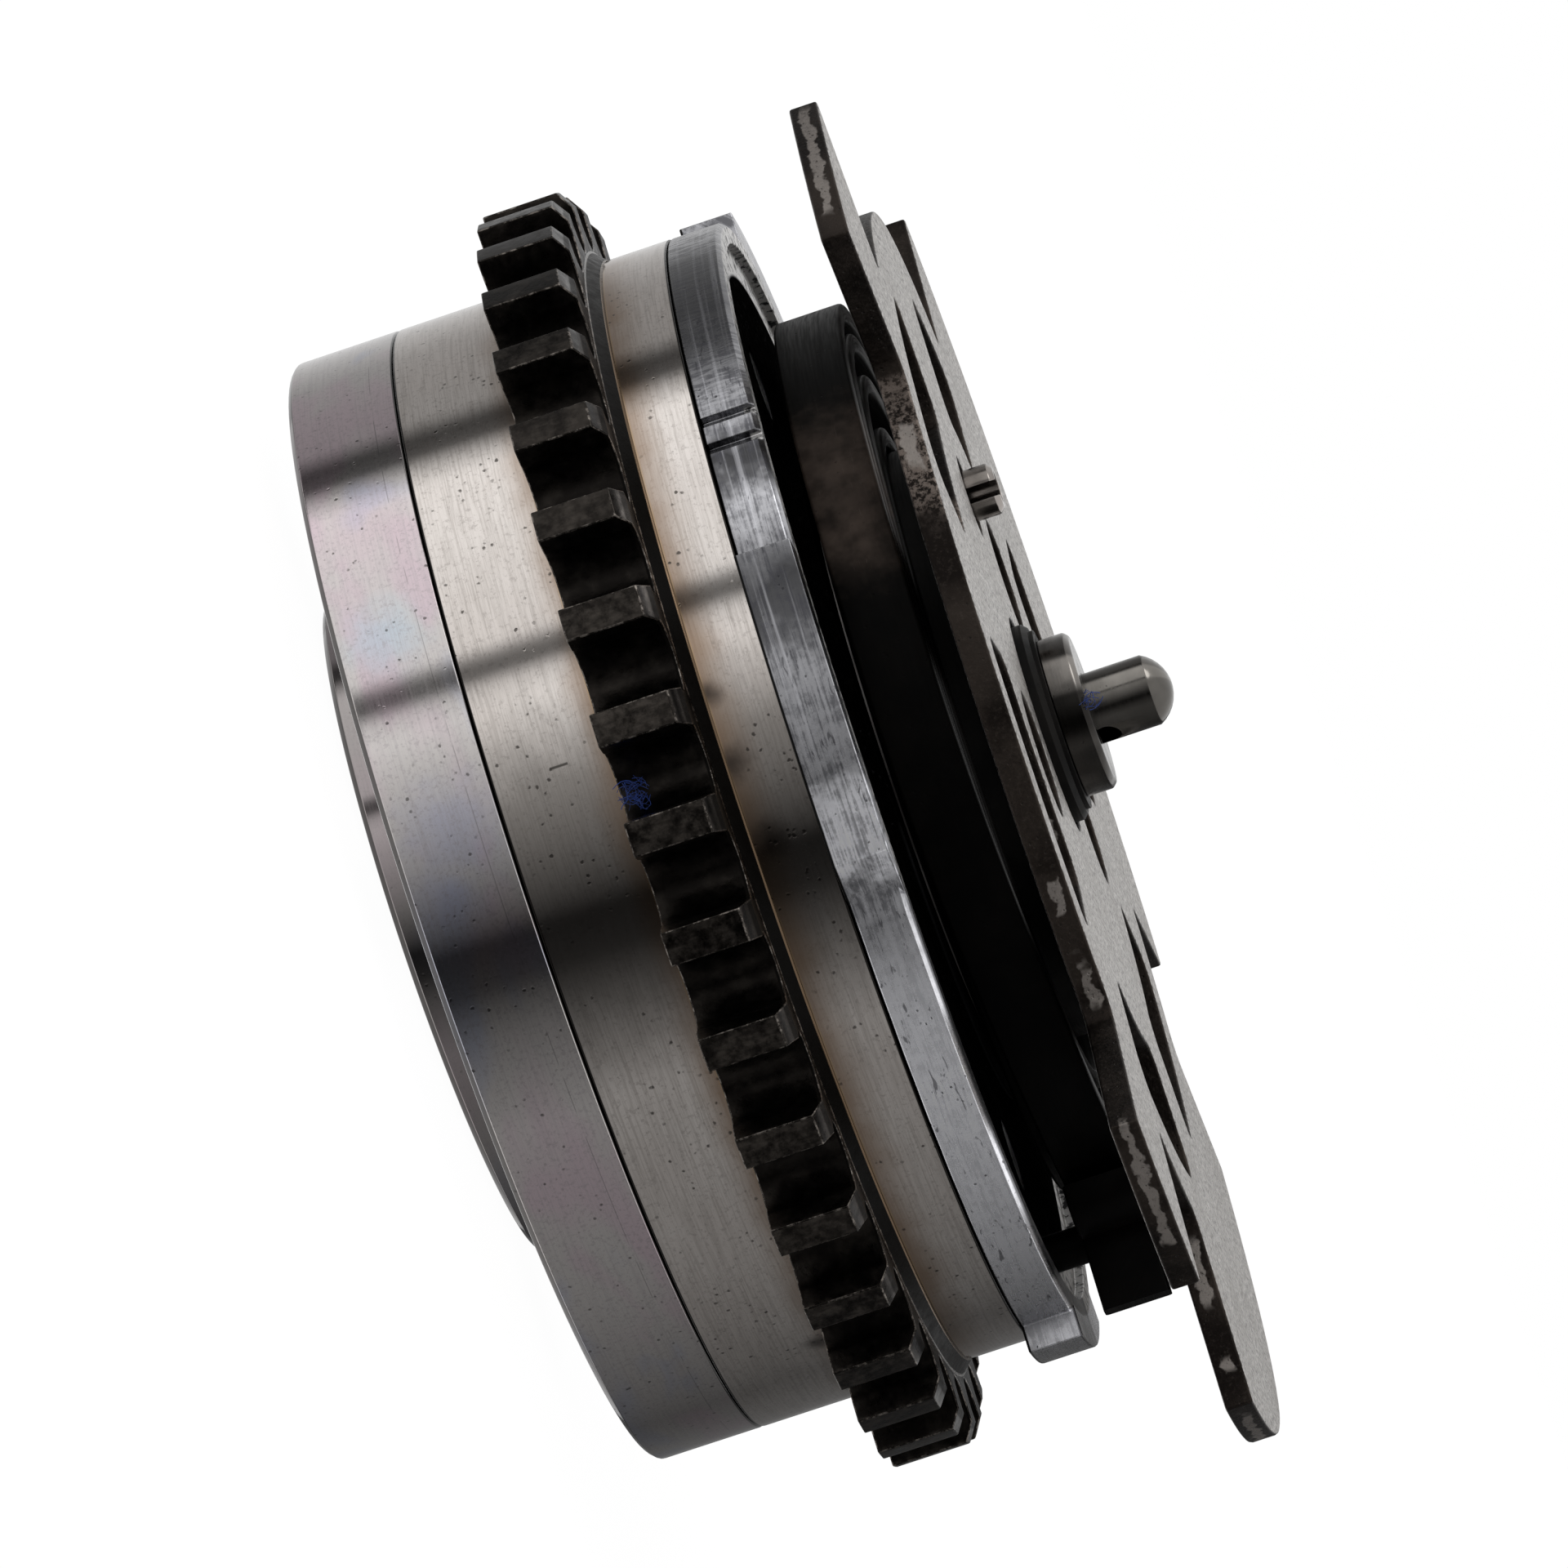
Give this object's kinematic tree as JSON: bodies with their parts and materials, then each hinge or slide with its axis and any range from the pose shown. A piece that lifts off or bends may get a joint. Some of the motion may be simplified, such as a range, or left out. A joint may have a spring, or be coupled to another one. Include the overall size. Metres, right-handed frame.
{
  "type": "cam phaser",
  "caption": "Vane cam phaser with a chain sprocket drum, spiral bias spring, trigger plate with tabs and windows, and a central control valve with a plunger pin",
  "frame": {"origin": "centre of the rear boss face, on the drum's axis", "axes": "+Z along the axis from the camshaft side to the plunger pin; +X and +Y across it, as set by the picture"},
  "size_m": [0.108, 0.108, 0.0598],
  "materials": {
    "cover_steel": "turned and lightly heat tinted",
    "stator_sinter": "sintered steel, ground bands and darkened teeth",
    "front_steel": "phosphated sheet steel with a worn edge",
    "rotor_sinter": "sintered iron, ground faces",
    "plate_sinter": "sintered iron with a dark steam oxide",
    "hub_black": "black oxide",
    "spring_black": "blackened spring steel",
    "valve_dark": "dark hardened steel",
    "valve_bright": "ground steel",
    "screw_dark": "phosphated",
    "pin_steel": "ground steel",
    "leaf_steel": "bright spring steel",
    "seal_plastic": "filled seal plastic"
  },
  "bodies": {
    "housing": {"rear_cover": "cover_steel", "stator": "stator_sinter", "front_cover": "front_steel", "cover_screws": "screw_dark", "cover_dowels": "pin_steel", "lock_bush": "pin_steel", "lobe_seals": "seal_plastic", "lobe_seal_springs": "leaf_steel", "spring_post": "spring_black", "bias_spring": "spring_black"},
    "rotor": {"rotor": "rotor_sinter", "vane_seals": "seal_plastic", "vane_seal_springs": "leaf_steel", "lock_seat": "pin_steel", "lock_spring": "leaf_steel", "spring_hub": "hub_black", "trigger_plate": "plate_sinter", "plate_dowel": "pin_steel", "valve_sleeve": "valve_dark", "valve_plug": "valve_dark", "retaining_ring": "screw_dark", "valve_cap": "valve_bright", "spool_spring": "leaf_steel"},
    "lock_pin": {"lock_pin": "pin_steel"},
    "spool": {"spool": "valve_bright"}
  },
  "joints": [
    {"name": "rotor_turn", "type": "hinge", "parent": "housing", "child": "rotor", "pos_m": [0, 0, 0], "axis": [0, 0, 1], "range_deg": [-20, 0], "stiffness_Nm_per_rad": 1.2, "deforming": ["bias_spring"]},
    {"name": "lock_slide", "type": "slide", "parent": "rotor", "child": "lock_pin", "axis": [0, 0, 1], "range_m": [-0.003, 0], "deforming": ["lock_spring"]},
    {"name": "spool_slide", "type": "slide", "parent": "rotor", "child": "spool", "axis": [0, 0, 1], "range_m": [-0.0032, 0], "stiffness_N_per_m": 1500, "deforming": ["spool_spring"]}
  ]
}
